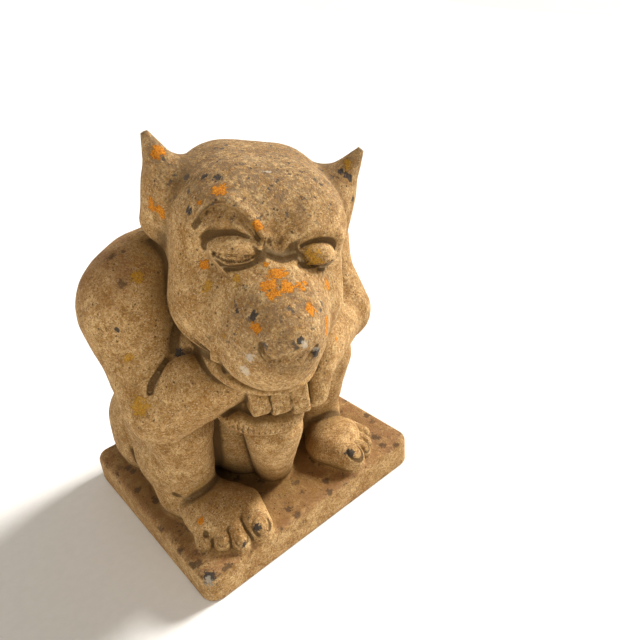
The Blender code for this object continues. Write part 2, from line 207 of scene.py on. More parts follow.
print("body lumps", len(body_masses))

# %% Feet
right_foot = [
    Limb((-125.0, -28.0, 16.0), (-106.0, -98.0, 8.0), 32.0, 27.0, 8.0),
    Egg((-105.0, -92.0, 13.0), (42.0, 39.0, 26.0), 8.0, (25.0, 0.0, 0.0)),
    Egg((-119.0, -78.0, 16.0), (36.0, 52.0, 27.0), 8.0, (20.0, 0.0, 0.0)),
    Limb((-80.0, -106.0, 14.0), (-90.0, -146.0, 10.0), 20.0, 18.5, 4.0),
    Limb((-106.0, -104.0, 14.0), (-117.0, -147.0, 7.0), 14.5, 12.5, 2.0),
    Limb((-123.0, -96.0, 13.0), (-134.0, -133.0, 6.0), 13.5, 12.0, 2.0),
    Limb((-137.0, -84.0, 12.0), (-149.0, -116.0, 5.0), 13.0, 12.0, 2.0),
]
left_foot = [
    Limb((103.0, -28.0, 16.0), (84.0, -94.0, 10.0), 32.0, 27.0, 8.0),
    Egg((84.0, -96.0, 13.0), (44.0, 40.0, 26.0), 8.0, (-20.0, 0.0, 0.0)),
    Limb((66.0, -104.0, 14.0), (75.0, -140.0, 11.0), 24.0, 21.0, 4.0),
    Limb((92.0, -104.0, 13.0), (100.0, -140.0, 8.0), 14.0, 12.5, 2.0),
    Limb((106.0, -98.0, 12.0), (116.0, -128.0, 7.0), 13.0, 11.5, 2.0),
    Limb((119.0, -86.0, 12.0), (130.0, -112.0, 6.0), 12.5, 11.0, 2.0),
]
foot_masses = right_foot + left_foot
print("foot lumps", len(foot_masses))

# %% Arms, column and hands
arm_masses = [
    Limb((-146.0, -88.0, 204.0), (-82.0, -160.0, 241.0), 46.0, 23.0, 6.0),
    Egg((-122.0, -120.0, 228.0), (40.0, 38.0, 39.0), 8.0),
    Limb((120.0, -78.0, 206.0), (-4.0, -176.0, 222.0), 43.0, 26.0, 6.0),
]
column_masses = [
    Limb((-9.0, -71.0, 12.0), (-40.0, -134.0, 134.0), 27.0, 37.0, 4.0),
    Egg((-60.0, -146.0, 174.0), (54.0, 44.0, 20.0), 4.0, (0.0, 0.0, 18.0)),
    Egg((-58.0, -138.0, 200.0), (38.0, 36.0, 36.0), 6.0),
]
finger_slope = (20.0, -8.0, 0.0)
hand_masses = [
    Slab((-80.5, -175.0, 228.0), (10.0, 13.0, 26.0), 4.0, 2.0, finger_slope),
    Slab((-59.5, -182.0, 224.0), (11.2, 13.0, 28.0), 4.0, 1.0, finger_slope),
    Slab((-38.5, -189.0, 217.0), (10.4, 13.0, 28.0), 4.0, 1.0, finger_slope),
    Egg((-30.0, -172.0, 212.0), (22.0, 16.0, 30.0), 4.0),
    Limb((-13.5, -186.0, 196.0), (6.0, -176.0, 246.0), 18.0, 24.0, 2.0),
]
print("fingers", len(hand_masses) - 1)

# %% [markdown]
# ## The head
#
# The head is turned to the figure's right, nodded down and tipped to its left. It is far easier to carve upright,
# so it has a frame of its own: X across the face, -Y out of it, Z up it. Every point is brought into that frame
# before the head's distances are taken, and the result is blended with the body as it stands.

# %% Head lumps
HEAD_PLACE = np.array([-12.0, -97.0, 357.0])
HEAD_AXES = np.array(turned(23.0, 7.5, 12.0))
FACE_BACK = -60.0

right_head = [
    Egg((-48.0, -62.0, -34.0), (44.0, 52.0, 54.0), 18.0),
    Limb((-80.0, 2.0, 42.0), (-111.0, 0.0, 107.0), 32.0, 4.0, 22.0),
    Limb((-80.0, 4.0, 46.0), (-94.0, 6.0, 16.0), 32.0, 20.0, 18.0),
]
middle_head = [
    Slab((0.0, -12.0, 24.0), (89.0, 94.0, 76.0), 66.0),
    Egg((0.0, 8.0, 0.0), (92.0, 98.0, 96.0), 10.0),
    Egg((0.0, -92.0, -42.0), (61.0, 93.0, 62.0), 20.0),
    Egg((0.0, -60.0, -30.0), (66.0, 96.0, 70.0), 16.0),
    Egg((0.0, -108.0, -6.0), (40.0, 83.0, 34.0), 32.0, (0.0, 6.0, 0.0)),
    Egg((5.0, -76.0, -94.0), (64.0, 74.0, 26.0), 3.0),
]
head_masses = middle_head + right_head + [mirrored(mass, 0.0) for mass in right_head]
print("head lumps", len(head_masses))

# %% [markdown]
# ## Carving lines
#
# Brows and frown lines are strokes: a smooth line across and up the face, with a reach to each side and a
# rise. A rise under zero cuts a groove. Each stroke adds a bell-shaped ridge or groove to the distance.

# %% Strokes
def curve(points, steps=6):
    """Points along a smooth line through the given ones."""
    points = [np.array(point, float) for point in points]
    ends = [2 * points[0] - points[1]] + points + [2 * points[-1] - points[-2]]
    found = []
    for a, b, c, d in zip(ends, ends[1:], ends[2:], ends[3:]):
        for t in np.arange(steps) / steps:
            found.append(
                0.5 * (2 * b + (c - a) * t + (2 * a - 5 * b + 4 * c - d) * t**2 + (3 * b - a - 3 * c + d) * t**3)
            )
    return np.array(found + [points[-1]])


def line_distance(points, line):
    nearest = np.full(len(points), np.inf)
    for start, end in zip(line, line[1:]):
        run = end - start
        t = np.clip((points - start) @ run / (run @ run), 0.0, 1.0)
        nearest = np.minimum(nearest, np.linalg.norm(points - start - t[:, None] * run, axis=1))
    return nearest


def stroked(total, points, line, reach, rise):
    """Raises or cuts the surface along a line, only worked out near it."""
    line = curve(line)
    near = np.all((points > line.min(axis=0) - 4 * reach) & (points < line.max(axis=0) + 4 * reach), axis=1)
    near = np.flatnonzero(near)
    total[near] -= rise * np.exp(-((line_distance(points[near], line) / reach) ** 2))


FACE_STROKES = [
    ([(-77, 52), (-68, 68), (-54, 78), (-38, 77), (-25, 67), (-14, 53)], 5.5, 5.0),
    ([(-64, 60), (-56, 68), (-46, 71), (-36, 68), (-27, 60), (-17, 48)], 2.8, -3.6),
    ([(-70, 44), (-62, 55), (-50, 62), (-38, 60), (-27, 52), (-18, 43)], 3.6, 3.2),
    ([(12, 50), (26, 56), (42, 57), (58, 54), (72, 44)], 7.0, 4.5),
    ([(-2, 66), (-3, 57), (0, 46)], 2.8, -1.8),
    ([(12, 68), (8, 58), (4, 46)], 2.8, -1.8),
    ([(-16, 64), (-12, 56), (-9, 47)], 2.6, -1.0),
    ([(-10, 37), (2, 35), (14, 36)], 2.6, -1.6),
]
print("strokes on the face", len(FACE_STROKES))

# %% [markdown]
# ## Eyes
#
# Each eye is a hollow under the brow with a ball pressed into it, and the ball stands for the closed or half
# closed lids. A fold runs over it and a raised rim under it. The figure's right eye is open by a narrow slit, which
# is cut as two dark lines with a sunk iris between them. The other eye is shut, and has one line.

# %% Eyes
EYES = (
    Egg((-37.5, -97.0, 36.5), (26.0, 22.5, 16.0)),
    Egg((39.0, -96.0, 34.5), (21.5, 23.5, 13.5)),
)
LID_EDGE = 36.0
SLIT_RISE = 2.4
SLIT_DROP = 4.6
SLIT_HALF = 18.0
SLIT_ASIDE = -3.5
IRIS_RADIUS = 3.6
SOCKET_FRONT = -134.0
SOCKET_DEPTH = 24.0
RIM_FRONT = -126.0


def with_socket(total, points, ball):
    """The hollow over an eyelid, open to the front."""
    x, _, z = ball.centre
    wide, _, tall = ball.radii
    hollow = Egg((x + math.copysign(3.0, x), SOCKET_FRONT, z + 3.0), (wide + 2.0, SOCKET_DEPTH, tall + 0.5))
    return -smooth_min(-total, hollow.distance(points), 8.0)


def with_eye(total, points, ball, shut):
    """A ball that stands for the lids, a lower rim and a fold, and a slit unless the eye is shut."""
    x, _, z = ball.centre
    side = 1.0 if x > 0 else -1.0
    total = smooth_min(total, ball.distance(points), 4.0)
    low = z - ball.radii[2]
    rim = [(x + side * 22, z - 5), (x + side * 12, low + 1), (x, low), (x - side * 9, low + 2)]
    lower_rim = np.zeros(len(total))
    stroked(lower_rim, points[:, [0, 2]], rim, 3.2, 2.0)
    total += lower_rim * np.clip((points[:, 1] - RIM_FRONT) / 8.0, 0.0, 1.0)
    over = np.radians([192, 165, 130, 90, 60, 42])
    fold = [(x - side * 1.02 * ball.radii[0] * math.cos(a), z + 1.02 * ball.radii[2] * math.sin(a)) for a in over]
    stroked(total, points[:, [0, 2]], fold, 1.9, -1.5)
    across = points[:, 0] - x - SLIT_ASIDE
    bow = np.clip(1.0 - (across / SLIT_HALF) ** 2, 0.0, None)
    if shut:
        lash = points[:, 2] - z + 3.0 + 4.0 * bow
        return total + 2.2 * np.exp(-((lash / 1.2) ** 2)) * (bow > 0.0)
    inside = np.minimum(LID_EDGE + SLIT_RISE * bow - points[:, 2], points[:, 2] - LID_EDGE + SLIT_DROP * bow)
    total += 1.2 * np.clip(inside / 1.4 + 0.4, 0.0, 1.0) * np.clip(bow * 4.0, 0.0, 1.0)
    total += 2.4 * np.exp(-((inside / 1.2) ** 2)) * (bow > 0.0)
    iris = np.hypot(across + 2.0, points[:, 2] - LID_EDGE + 1.5)
    total += 1.2 * np.exp(-((iris / IRIS_RADIUS) ** 4)) * (inside > 0.0)
    return total


print("eye slit is", SLIT_RISE + SLIT_DROP, "units tall")

# %% [markdown]
# ## Muzzle
#
# The parted lips run right round the muzzle, so their line is drawn on the muzzle unrolled: an angle round it and a
# height. The nostrils are the lower parts of two rings, each with a hole in it. The fang is one more tapered bar,
# which stands up from the lower lip at the figure's right.

# %% Muzzle
MOUTH = [
    (-45, -55), (-39, -60), (-33, -67), (-27, -73), (-22, -79), (-15, -86), (-7, -91),
    (0, -93), (9, -93), (18, -90), (27, -86), (36, -78), (44, -68),
]
MOUTH_ROUND = 125.0
NOSTRILS = ((-13.0, -16.0, 11.0), (14.0, -19.0, 9.5))
FANG = Limb((-48.0, -131.0, -76.0), (-56.0, -127.5, -46.0), 9.5, 3.4, 3.0)


def with_muzzle(total, points):
    """Curls the nostrils, parts the lips and sets the fang."""
    across = points[:, [0, 2]]
    for x, z, radius in NOSTRILS:
        away = across - np.array([x, z])
        ring = np.abs(np.linalg.norm(away, axis=1) - radius)
        low = np.clip(1.2 - (away[:, 1] + 0.2 * radius) / (0.6 * radius), 0.0, 1.0) * (points[:, 1] < -130.0)
        total += 3.2 * np.exp(-((ring / 2.4) ** 2)) * low
        total += 3.0 * np.exp(-((np.hypot(away[:, 0] - 0.5 * radius, away[:, 1] + 0.4 * radius) / 3.4) ** 2)) * low
    unrolled = np.stack([np.arctan2(points[:, 0], -points[:, 1]) * MOUTH_ROUND, points[:, 2]], axis=1)
    lips = curve([(math.radians(angle) * MOUTH_ROUND, height) for angle, height in MOUTH], 3)
    apart = line_distance(unrolled, lips)
    total += 4.0 * np.exp(-((apart / 3.0) ** 2))
    return smooth_min(total, FANG.distance(points), FANG.blend)


def head_distance(points):
    """The head's lumps with the face carved into them, in the head's own frame."""
    total = blended(head_masses, points)
    front = np.flatnonzero((points[:, 1] < FACE_BACK) & (total < MARGIN))
    face, spots = total[front], points[front]
    face = with_socket(with_socket(face, spots, EYES[0]), spots, EYES[1])
    for line, reach, rise in FACE_STROKES:
        stroked(face, spots[:, [0, 2]], line, reach, rise)
    face = with_eye(face, spots, EYES[0], shut=False)
    face = with_eye(face, spots, EYES[1], shut=True)
    total[front] = with_muzzle(face, spots)
    return total


print("lips run through", len(MOUTH), "points")

# %% [markdown]
# ## Creases, cracks, nails and the notched lip
#
# The same bell-shaped stroke works in space as well: a crease follows a line of points that lie on the skin. The
# lip of the column has short notches all round, which are a ripple in its angle, and each toenail is outlined by a
# ring that is only cut on top of the toe.

# %% Body cuts
BODY_CUTS = [
    ([(-117, -112, 267), (-131, -105, 262), (-138, -102, 258),
      (-147, -104, 254), (-159, -105, 246), (-165, -108, 237)], 3.0, -6.0),
    ([(-163, -116, 178), (-158, -104, 158), (-152, -94, 130), (-148, -86, 104), (-144, -80, 80)], 3.0, -1.6),
    ([(-151, -60, 51), (-136, -68, 40), (-122, -77, 38)], 3.0, -2.0),
    ([(-160, 54, 104), (-154, 51, 62), (-147, 47, 24)], 5.0, -3.5),
]
LIP = Egg((-60.0, -146.0, 174.0), (54.0, 44.0, 20.0), 4.0, (0.0, 0.0, 18.0))
NOTCHES = 50
TOES = [
    (-91.0, -155.0, 10.0), (-119.0, -152.0, 6.5), (-136.0, -137.0, 5.5), (-151.0, -120.0, 5.5),
    (77.0, -148.0, 10.5), (101.0, -145.0, 6.0), (118.0, -133.0, 5.5), (132.0, -117.0, 5.0),
]


def smooth_notch(ripple):
    """0 on the land between two notches and 1 in a notch."""
    return np.clip((ripple - 0.1) / 0.4, 0.0, 1.0)


def with_body_cuts(total, points):
    for line, reach, rise in BODY_CUTS:
        stroked(total, points, line, reach, rise)
    local = (points - LIP.centre) @ LIP.turn
    level = np.hypot(local[:, 0] / LIP.radii[0], local[:, 1] / LIP.radii[1])
    ripple = np.cos(NOTCHES * np.arctan2(local[:, 1] / LIP.radii[1], local[:, 0] / LIP.radii[0]))
    edge = np.exp(-(((local[:, 2] + 2.0) / 5.5) ** 2)) * (np.abs(level - 1.0) < 0.25)
    total += 3.2 * smooth_notch(ripple) * edge
    for x, y, radius in TOES:
        away = np.hypot(points[:, 0] - x, points[:, 1] - y)
        high = np.clip((points[:, 2] - 8.0) / 8.0, 0.0, 1.0) * (points[:, 2] < 40.0)
        total += 1.8 * np.exp(-(((away - radius) / 1.8) ** 2)) * high
    return total


print("cuts in the body", len(BODY_CUTS), "and nails", len(TOES))

# %% [markdown]
# ## The whole surface
#
# The plinth is a slab with rounded corners and a worn top edge. The order of blending matters: limbs are pressed
# onto the body first, the hands onto the limbs, and the head last, so that each seam is only as soft as it is on
# the real casting.

# %% Plinth and clay
def plinth_distance(points):
    flat = np.abs(points[:, :2]) - np.array(PLINTH_HALVES) + PLINTH_CORNER
    flat = np.linalg.norm(np.maximum(flat, 0.0), axis=1) + np.minimum(flat.max(axis=1), 0.0) - PLINTH_CORNER
    sides = np.stack([flat + PLINTH_EDGE, points[:, 2] + PLINTH_EDGE], axis=1)
    slab = np.linalg.norm(np.maximum(sides, 0.0), axis=1) + np.minimum(sides.max(axis=1), 0.0) - PLINTH_EDGE
    return -smooth_min(-slab, points[:, 2] + PLINTH_TOP / UNIT, 3.0)


def clay(points):
    """Signed distance in grid units from the carved surface, under zero inside."""
    total = blended(body_masses, points)
    total = smooth_min(total, blended(foot_masses, points), 8.0)
    total = smooth_min(total, blended(column_masses, points), 5.0)
    total = smooth_min(total, blended(arm_masses, points), 4.0)
    total = smooth_min(total, blended(hand_masses, points), 4.0)
    total = with_body_cuts(total, points)
    total = smooth_min(total, head_distance((points - HEAD_PLACE) @ HEAD_AXES), 4.0)
    return smooth_min(total, plinth_distance(points), 6.0)


print("distance at the plinth's top, off the figure", clay(np.array([[150.0, 150.0, 0.0]])).round(3))

# %% [markdown]
# ## From the solid to the fine mesh
#
# The solid's mesh has few, large faces. A copy of it is merged, turned into an even skin of small squares by a
# voxel remesh, and then every point is slid down the steepest slope of the clay's distance until it lies on the
# surface. Between two slides the points are evened out, so that no squares fold over in the creases.

# %% Even skin
SKIN_STEP = 0.0034
PROBE = 0.4
CORNERS = np.array([[1.0, -1.0, -1.0], [-1.0, -1.0, 1.0], [-1.0, 1.0, -1.0], [1.0, 1.0, 1.0]])
DEEP = 9.0


def points_of(mesh):
    flat = np.empty(len(mesh.vertices) * 3, np.float32)
    mesh.vertices.foreach_get("co", flat)
    return flat.reshape(-1, 3).astype(float) / UNIT - np.array([0.0, 0.0, PLINTH_TOP / UNIT])


def put_points(mesh, points):
    metres = (points + np.array([0.0, 0.0, PLINTH_TOP / UNIT])) * UNIT
    mesh.vertices.foreach_set("co", metres.astype(np.float32).ravel())
    mesh.update()


def edges_of(mesh):
    ends = np.empty(len(mesh.edges) * 2, np.int32)
    mesh.edges.foreach_get("vertices", ends)
    return ends.reshape(-1, 2)


def evened(points, ends):
    """The mean of every point's neighbours."""
    both = np.concatenate([ends, ends[:, ::-1]])
    count = np.bincount(both[:, 0], minlength=len(points))
    sums = [np.bincount(both[:, 0], weights=points[both[:, 1], k], minlength=len(points)) for k in range(3)]
    return np.stack(sums, axis=1) / count[:, None]


def settled(points, ends, rounds, share):
    """Slides points onto the clay's surface, evening them by a share before each slide."""
    for _ in range(rounds):
        points = points + share * (evened(points, ends) - points)
        tips = [clay(points + corner * PROBE) for corner in CORNERS]
        value = sum(tips) / 4
        slope = sum(corner * tip[:, None] for corner, tip in zip(CORNERS, tips)) / (4 * PROBE)
        steep = np.maximum((slope**2).sum(axis=1), 0.2)
        points = points - slope * np.clip(value / steep, -DEEP, DEEP)[:, None]
    return points


skin = bmesh.new()
skin.from_mesh(bpy.data.objects["gargoyle"].data)
bmesh.ops.remove_doubles(skin, verts=skin.verts[:], dist=1e-6)
skin_mesh = bpy.data.meshes.new("stone_gargoyle")
skin.to_mesh(skin_mesh)
skin.free()
gargoyle = bpy.data.objects.new("stone_gargoyle", skin_mesh)
bpy.context.scene.collection.objects.link(gargoyle)
even = gargoyle.modifiers.new("even", "REMESH")
even.mode = "VOXEL"
even.voxel_size = SKIN_STEP
graph = bpy.context.evaluated_depsgraph_get()
gargoyle.data = bpy.data.meshes.new_from_object(gargoyle.evaluated_get(graph))
gargoyle.modifiers.clear()
put_points(gargoyle.data, settled(points_of(gargoyle.data), edges_of(gargoyle.data), 4, 0.4))
print("skin", len(gargoyle.data.vertices), "points,", len(gargoyle.data.polygons), "faces")

# %% [markdown]
# ## More squares where the carving is fine
#
# The face, the hands, the notched lip, the creases and the toes need a finer grid than the back, and the eyes a
# finer one still. Their edges are cut in two, and the points are settled again, so the narrow lines come out crisp
# without slowing the rest.

# %% Finer face, hands and feet
def fine_places(points):
    """True where the carving is fine."""
    in_head = (points - HEAD_PLACE) @ HEAD_AXES
    x, y, z = points.T
    face = (in_head[:, 1] < -60.0) & (np.abs(in_head[:, 0]) < 84.0) & (np.abs(in_head[:, 2] + 5.0) < 95.0)
    hands = (y < -130.0) & (np.abs(x + 40.0) < 75.0) & (np.abs(z - 200.0) < 55.0)
    toes = (y < -88.0) & (np.abs(x + 11.0) > 52.0) & (z > 1.0) & (z < 34.0)
    cuts = np.min([line_distance(points, curve(line, 2)) for line, _, _ in BODY_CUTS], axis=0) < 10.0
    return face | hands | toes | cuts


def eye_places(points):
    """True round the two eyes, where the narrow lid lines are."""
    in_head = (points - HEAD_PLACE) @ HEAD_AXES
    across = np.abs(in_head[:, 0])
    return (in_head[:, 1] < -70.0) & (across > 8.0) & (across < 66.0) & (np.abs(in_head[:, 2] - 36.0) < 22.0)


for places, rounds in ((fine_places, 3), (eye_places, 2)):
    fine = bmesh.new()
    fine.from_mesh(gargoyle.data)
    chosen = places(points_of(gargoyle.data))
    fine.verts.ensure_lookup_table()
    cut = [edge for edge in fine.edges if chosen[edge.verts[0].index] and chosen[edge.verts[1].index]]
    bmesh.ops.subdivide_edges(fine, edges=cut, cuts=1, use_grid_fill=True)
    bmesh.ops.triangulate(fine, faces=[face for face in fine.faces if len(face.verts) > 4])
    fine.to_mesh(gargoyle.data)
    fine.free()
    put_points(gargoyle.data, settled(points_of(gargoyle.data), edges_of(gargoyle.data), rounds, 0.25))
triangles = sum(len(face.vertices) - 2 for face in gargoyle.data.polygons)
print("fine skin", len(gargoyle.data.vertices), "points,", triangles, "triangles")

# %% [markdown]
# ## Fewer triangles where the stone is plain
#
# The back and the plinth don't need so many squares. A Decimate modifier thins only the points in a group that
# leaves the carving out, until the whole piece is under its limit.

# %% Thinned back and plinth
MOST_TRIANGLES = 192000
plain = gargoyle.vertex_groups.new(name="plain_stone")
plain.add([int(i) for i in np.flatnonzero(~fine_places(points_of(gargoyle.data)))], 1.0, "REPLACE")
thin = gargoyle.modifiers.new("thin", "DECIMATE")
thin.ratio = min(1.0, MOST_TRIANGLES / triangles)
thin.vertex_group = plain.name
graph = bpy.context.evaluated_depsgraph_get()
gargoyle.data = bpy.data.meshes.new_from_object(gargoyle.evaluated_get(graph))
gargoyle.modifiers.clear()
gargoyle.vertex_groups.clear()
print("thinned to", sum(len(face.vertices) - 2 for face in gargoyle.data.polygons), "triangles")

# %% [markdown]
# ## A cast skin, not a polished one
#
# A casting keeps the unevenness of its mould, and years outdoors take the sharpness off. Three layers of seeded
# noise push the points in and out along their normals: a slow wobble, then lumps, then grit. The noise is worked
# out for all points at once, from a hash of the lattice corners round each point.

# %% Uneven skin
WOBBLE = ((30.0, 0.55, 3), (11.0, 0.34, 5), (4.5, 0.20, 9))


def lattice_noise(points, cell, seed):
    """Smooth noise from -1 to 1 that changes over one cell."""
    low = np.floor(points / cell).astype(np.int64)
    part = points / cell - low
    part = part * part * (3.0 - 2.0 * part)
    total = np.zeros(len(points))
    for step in ((x, y, z) for x in (0, 1) for y in (0, 1) for z in (0, 1)):
        corner = (low + np.array(step)) * np.array([73856093, 19349663, 83492791])
        mixed = corner[:, 0] ^ corner[:, 1] ^ corner[:, 2] ^ (seed * 2654435)
        mixed = ((mixed ^ (mixed >> 13)) * 1274126177) & 0x7FFFFFFF
        weight = np.prod(np.where(np.array(step) == 1, part, 1.0 - part), axis=1)
        total += weight * (mixed / 0x3FFFFFFF - 1.0)
    return total


def normals_of(mesh):
    flat = np.empty(len(mesh.vertices) * 3, np.float32)
    mesh.vertex_normals.foreach_get("vector", flat)
    return flat.reshape(-1, 3).astype(float)


smooth_points = points_of(gargoyle.data)
outward = normals_of(gargoyle.data)
push = sum(high * lattice_noise(smooth_points, cell, seed) for cell, high, seed in WOBBLE)
push *= np.clip((smooth_points[:, 2] + PLINTH_TOP / UNIT) / 4.0, 0.0, 1.0)
print("skin pushed by", push.min().round(2), "to", push.max().round(2), "mm")

# %% [markdown]
# ## Chips
#
# The plinth's near corner, its edges and the rim of the figure's right ear have lost small pieces. Each chip is
# a ball that bites into the surface: a point inside the ball is pushed down onto its far side, with some noise.

# %% Chips
CHIPS = [
    # Where the middle of the bite is, and its radius
    ((-176.0, -160.0, 4.0), 10.0),
    ((-166.0, -166.0, 3.0), 6.0),
    ((-98.0, -62.0, 487.0), 6.0),
    ((-104.0, -64.0, 474.0), 5.0),
    ((-60.0, -165.0, 3.0), 5.0),
    ((40.0, -166.0, 3.0), 6.0),
    ((120.0, -165.0, 4.0), 5.0),
    ((184.0, -40.0, 4.0), 6.0),
    ((-184.0, 70.0, 4.0), 6.0),
]
bite = np.zeros(len(smooth_points))
for place, radius in CHIPS:
    away = np.linalg.norm(smooth_points - np.array(place), axis=1)
    bite = np.maximum(bite, (radius - away) * (1.0 + 0.4 * lattice_noise(smooth_points, 3.0, 21)))
bite = np.clip(bite, 0.0, 4.0)
put_points(gargoyle.data, smooth_points + outward * (push - bite)[:, None])
print("chips", len(CHIPS), "with", int((bite > 0.2).sum()), "points")

# %% [markdown]
# ## Painted shade where parts close in, and what weather leaves
#
# Shade falls where something else is close by, so creases and hollows are painted darker there: painted shade, with
# some dirt in the wide hollows. The clay's distance tells that cheaply: a point a little way out along the normal
# is that same way off on open stone, and less in a crease. The same measure inwards finds worn edges. Each of these
# becomes a number on every point, which the material reads as an attribute.

# %% Painted crease and hollow shade, and worn edges
# How dark the line of each body cut is painted: painted shade in the crease.
CUT_SHADE = (0.7, 0.2, 0.3, 0.3)


def closeness(points, out, reach):
    """0 on open stone and near 1 deep in a crease, or on a sharp edge where reach is under zero."""
    return np.clip(1.0 - clay(points + out * reach) / reach, 0.0, 1.0)


def smooth_step(value, low, high):
    t = np.clip((value - low) / (high - low), 0.0, 1.0)
    return t * t * (3.0 - 2.0 * t)


# Painted shade in tight creases and along the body cuts.
tight = smooth_step(closeness(smooth_points, outward, 3.0), 0.04, 0.34) * smooth_step(smooth_points[:, 2], 1.0, 8.0)
for shade_of_cut, (line, _, _) in zip(CUT_SHADE, BODY_CUTS):
    tight = np.maximum(tight, shade_of_cut * np.exp(-((line_distance(smooth_points, curve(line)) / 2.8) ** 2)))
# Painted shade, with some dirt, in wide and broad hollows between the parts.
wide = smooth_step(closeness(smooth_points, outward, 15.0), 0.18, 0.85)
broad = smooth_step(closeness(smooth_points, outward, 40.0), 0.2, 0.95)
edge = smooth_step(closeness(smooth_points, outward, -5.0), 0.15, 0.6) * (1.0 - wide)
print("tight creases", tight.mean().round(3), "wide", wide.mean().round(3), "edges", edge.mean().round(3))

# %% Grime, rust, and painted shade low down
in_head = (smooth_points - HEAD_PLACE) @ HEAD_AXES
upward = smooth_step(outward[:, 2], 0.0, 0.9)
cloud = 0.5 + 0.5 * lattice_noise(smooth_points, 34.0, 31)
patch = 0.5 + 0.5 * lattice_noise(smooth_points, 14.0, 33)
on_head = smooth_step(smooth_points[:, 2], 285.0, 330.0) * (np.abs(in_head[:, 0]) < 125.0) * (in_head[:, 1] < 100.0)
skull = on_head * smooth_step(in_head[:, 2], 40.0, 100.0)
muzzle_top = on_head * smooth_step(-in_head[:, 1], 118.0, 165.0)
grime = np.clip((skull + 0.8 * muzzle_top) * (0.55 + 0.6 * cloud) + 0.25 * upward * patch, 0.0, 1.0)
on_plinth = smooth_step(-smooth_points[:, 2], -10.0, -1.0)
shoulder = smooth_step(smooth_points[:, 2], 285.0, 345.0) * (1.0 - on_head)
rust = np.clip(on_plinth * upward * (0.65 + 0.7 * cloud) + 0.7 * shoulder * upward, 0.0, 1.0)
# Darker towards the bottom, in patches; joined below with the hollows, this is painted shade low down.
low_darkening = smooth_step(-smooth_points[:, 2], -150.0, 0.0) * (0.3 + 0.7 * patch)
print("grime", grime.mean().round(3), "rust", rust.mean().round(3))

# %% [markdown]
# ## Lichen
#
# Orange lichen grows in round crusts on the brow, ears, nose bridge and muzzle, with paler yellow ones between,
# and a few chalky and a few sooty ones. A list gives the middle and the radius of each. The noise in the
# material breaks their edges into lobes, so the list stays short.

# %% Lichen spots
ORANGE = [
    ((-92.0, -86.0, 466.0), 7.0), ((-109.0, -84.0, 418.0), 6.0), ((-106.0, -95.0, 412.0), 5.5),
    ((-79.0, -164.0, 439.0), 7.0), ((-96.0, -156.0, 430.0), 3.0), ((-63.0, -196.0, 408.0), 5.5),
    ((-106.0, -162.0, 375.0), 5.5), ((-75.0, -191.0, 375.0), 6.0), ((-82.0, -190.0, 373.0), 4.0),
    ((-83.0, -228.0, 367.0), 8.5), ((-66.0, -224.0, 371.0), 8.0), ((-69.0, -238.0, 364.0), 8.0),
    ((-57.0, -241.0, 361.0), 5.5), ((-86.0, -237.0, 362.0), 6.5), ((-50.0, -236.0, 356.0), 4.0),
    ((-60.0, -258.0, 345.0), 8.0), ((-9.0, -225.0, 338.0), 8.0), ((-41.0, -255.0, 313.0), 7.0),
    ((-40.0, -250.0, 322.0), 5.0), ((21.0, -194.0, 251.0), 5.0), ((-111.0, -240.0, 339.0), 5.0),
    ((-146.0, -107.0, 32.0), 4.5), ((-70.0, -210.0, 378.0), 3.5), ((-96.0, -226.0, 364.0), 3.0),
]
YELLOW = [
    ((-98.0, -201.0, 369.0), 6.5), ((-113.0, -171.0, 359.0), 7.0), ((-123.0, -204.0, 321.0), 4.0),
    ((-24.0, -220.0, 371.0), 10.0), ((-179.0, -108.0, 228.0), 12.0), ((-137.0, -76.0, 349.0), 7.0),
    ((-171.0, -87.0, 274.0), 6.0), ((28.0, -201.0, 327.0), 6.0), ((84.0, -160.0, 426.0), 6.0),
    ((-17.0, -231.0, 339.0), 4.0), ((-20.0, -110.0, 462.0), 6.0), ((-74.0, -70.0, 458.0), 5.0),
    ((60.0, 60.0, 300.0), 14.0), ((-60.0, 96.0, 250.0), 12.0), ((20.0, 118.0, 190.0), 10.0),
    ((-110.0, 60.0, 330.0), 9.0), ((90.0, 20.0, 340.0), 8.0), ((40.0, 40.0, 400.0), 7.0),
]
CHALKY = [
    ((-83.0, -271.0, 322.0), 4.0), ((-118.0, -236.0, 311.0), 6.0), ((-119.0, -227.0, 294.0), 6.0),
    ((-32.0, -165.0, 446.0), 6.0), ((-66.0, -262.0, 308.0), 4.0), ((-174.0, -158.0, -4.0), 6.0),
    ((-40.0, 80.0, 300.0), 8.0), ((60.0, 110.0, 150.0), 7.0),
]
SOOTY = [
    ((-108.0, -234.0, 348.0), 4.5), ((-113.0, -216.0, 350.0), 4.0), ((-102.0, -147.0, 423.0), 5.0),
    ((-71.0, -152.0, 446.0), 5.0), ((-77.0, -138.0, 447.0), 4.0), ((-124.0, -106.0, 265.0), 6.0),
    ((-97.0, -157.0, 23.0), 5.5), ((70.0, -148.0, 29.0), 6.5), ((-171.0, -155.0, -3.0), 8.0),
    ((-86.0, -270.0, 327.0), 4.0), ((-66.0, -265.0, 303.0), 5.0), ((74.0, -159.0, 420.0), 4.0),
    ((81.0, -165.0, 413.0), 4.5), ((80.0, -168.0, 389.0), 4.0), ((-173.0, -82.0, 305.0), 3.0),
    ((-40.0, -128.0, 448.0), 4.0), ((-10.0, -150.0, 440.0), 3.5), ((-119.0, -156.0, 12.0), 4.0),
    ((60.0, 90.0, 330.0), 5.0), ((-30.0, 60.0, 350.0), 4.5), ((10.0, -40.0, 466.0), 5.0),
]


def spotted(spots):
    """1 in the middle of each spot, falling to 0 at twice its radius."""
    found = np.zeros(len(smooth_points))
    for place, radius in spots:
        away = np.linalg.norm(smooth_points - np.array(place), axis=1)
        found = np.maximum(found, np.clip(1.0 - 0.5 * away / radius, 0.0, 1.0))
    return found


ends = edges_of(gargoyle.data)


def softened(values, rounds=2):
    """Evens one number over neighbouring points, so that no row of dots shows along a seam."""
    spread = np.repeat(values[:, None], 3, axis=1)
    for _ in range(rounds):
        spread = evened(spread, ends)
    return spread[:, 0]


